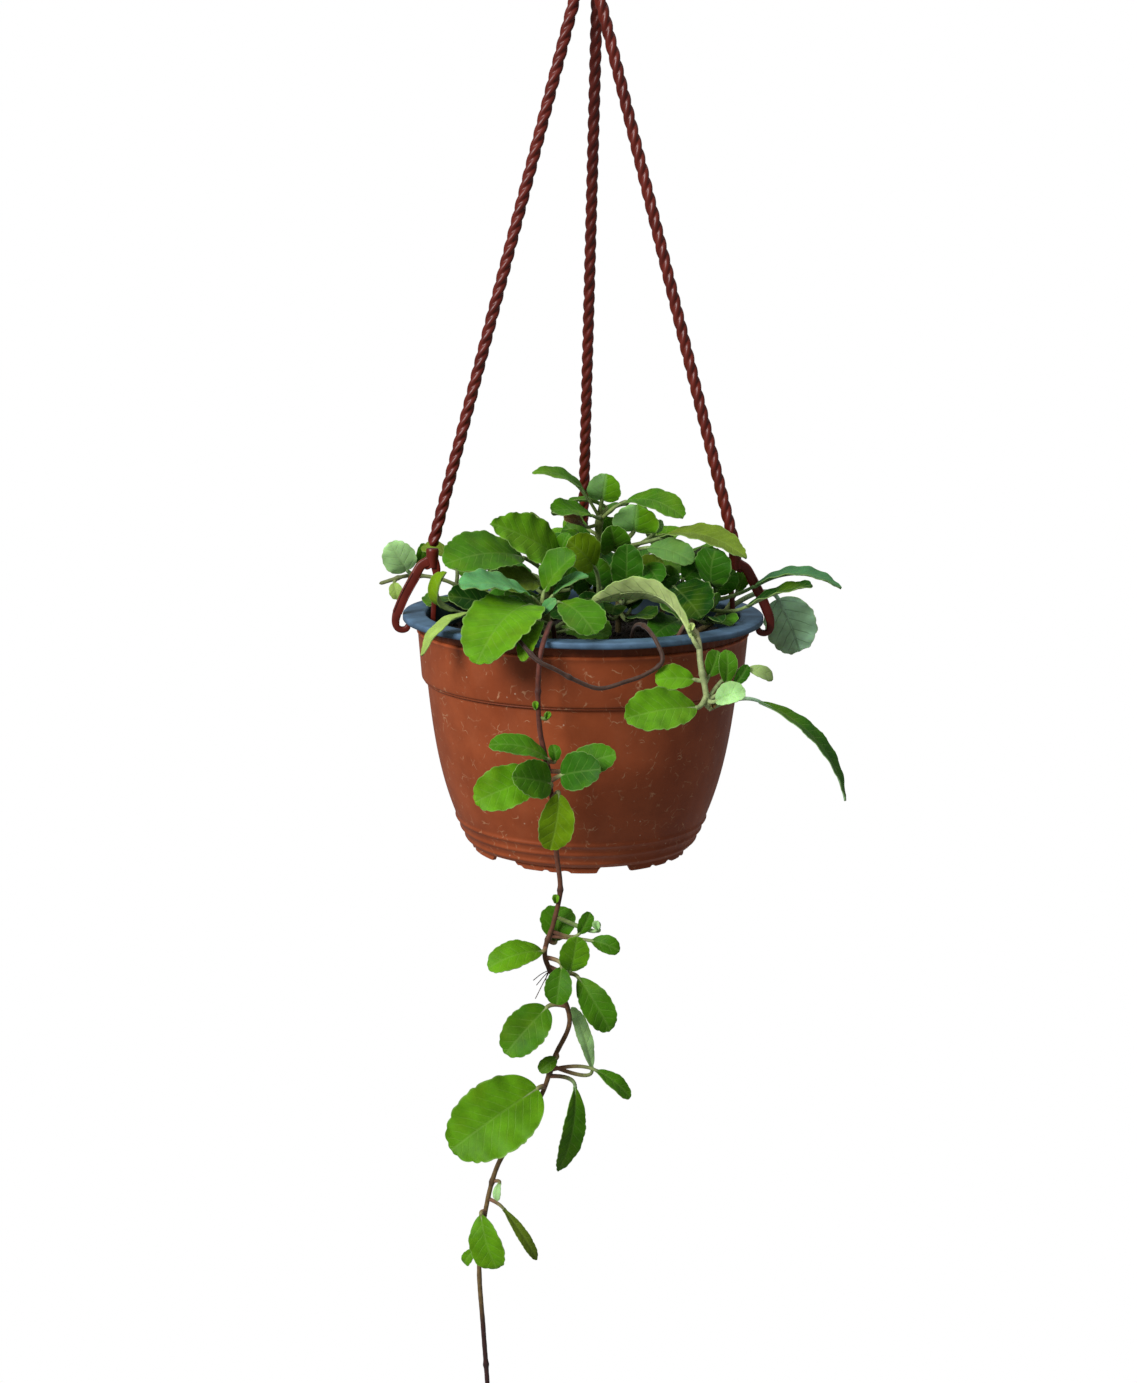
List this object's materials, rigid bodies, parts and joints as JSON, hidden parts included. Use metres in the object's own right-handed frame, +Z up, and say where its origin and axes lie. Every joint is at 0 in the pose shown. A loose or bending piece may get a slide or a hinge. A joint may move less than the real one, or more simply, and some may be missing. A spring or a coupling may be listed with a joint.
{
  "type": "trailing potted plant in a hanging pot",
  "caption": "Trailing leafy plant in a round two-layer plastic pot, hung by twisted strands that clip to the rim and meet under a hook.",
  "frame": {"origin": "top of the inside of the hook, where the hook hangs", "axes": "+Z up along the pot's axis, +X to the right and -Y towards the front, where the long runner hangs"},
  "size_m": [0.2315, 0.2252, 0.752],
  "materials": {
    "terracotta_plastic": "moulded, semi-gloss, scratched and dusty",
    "slate_plastic": "moulded, semi-matte",
    "hanger_plastic": "moulded and twisted, semi-gloss",
    "potting_soil": "crumbly and moist",
    "leaf": "living leaf, finely hairy, soft sheen",
    "stem": "living stem, matt"
  },
  "bodies": {
    "root": {"outer_pot": "terracotta_plastic", "inner_pot": "slate_plastic", "potting_soil": "potting_soil", "hanger_hook": "hanger_plastic", "hanger_strand_left": "hanger_plastic", "rim_clip_left": "hanger_plastic", "hanger_strand_right": "hanger_plastic", "rim_clip_right": "hanger_plastic", "hanger_strand_back": "hanger_plastic", "rim_clip_back": "hanger_plastic", "shoot_tall": "leaf", "leaf_crest_long": "leaf", "leaf_crest_folded": "leaf", "leaf_crest_right": "leaf", "shoot_middle": "leaf", "leaf_mid_folded": "leaf", "leaf_mid_arching": "leaf", "leaf_mid_right": "leaf", "leaf_mid_upright": "leaf", "shoot_left": "leaf", "leaf_left_tall": "leaf", "leaf_left_broad": "leaf", "shoot_front": "leaf", "leaf_front_yellow": "leaf", "leaf_front_folded": "leaf", "leaf_front_blue": "leaf", "leaf_front_large": "leaf", "leaf_front_bright": "leaf", "leaf_front_upright": "leaf", "leaf_rim_left_slim": "leaf", "shoot_right": "leaf", "leaf_right_curled": "leaf", "leaf_right_round": "leaf", "leaf_rim_right_long": "leaf", "leaf_rim_right_dark": "leaf", "shoot_rim_right": "leaf", "leaf_rim_right_round": "leaf", "shoot_rim_left": "leaf", "leaf_rim_left_curl": "leaf", "plantlet_runner": "leaf", "plantlet_leaf_arching": "leaf", "plantlet_leaf_upper": "leaf", "plantlet_leaf_broad": "leaf", "plantlet_leaf_trailing": "leaf", "trailing_runner": "leaf", "runner_leaf_upper_left": "leaf", "runner_leaf_left": "leaf", "runner_leaf_front": "leaf", "runner_leaf_right": "leaf", "runner_leaf_hanging": "leaf", "trail_leaf_left": "leaf", "trail_leaf_right": "leaf", "trail_leaf_round": "leaf", "trail_leaf_large": "leaf", "trail_leaf_slender": "leaf", "trail_leaf_low": "leaf", "loop_runner": "stem", "shoot_back_left": "leaf", "shoot_back": "leaf", "shoot_back_right": "leaf"}
  },
  "joints": []
}
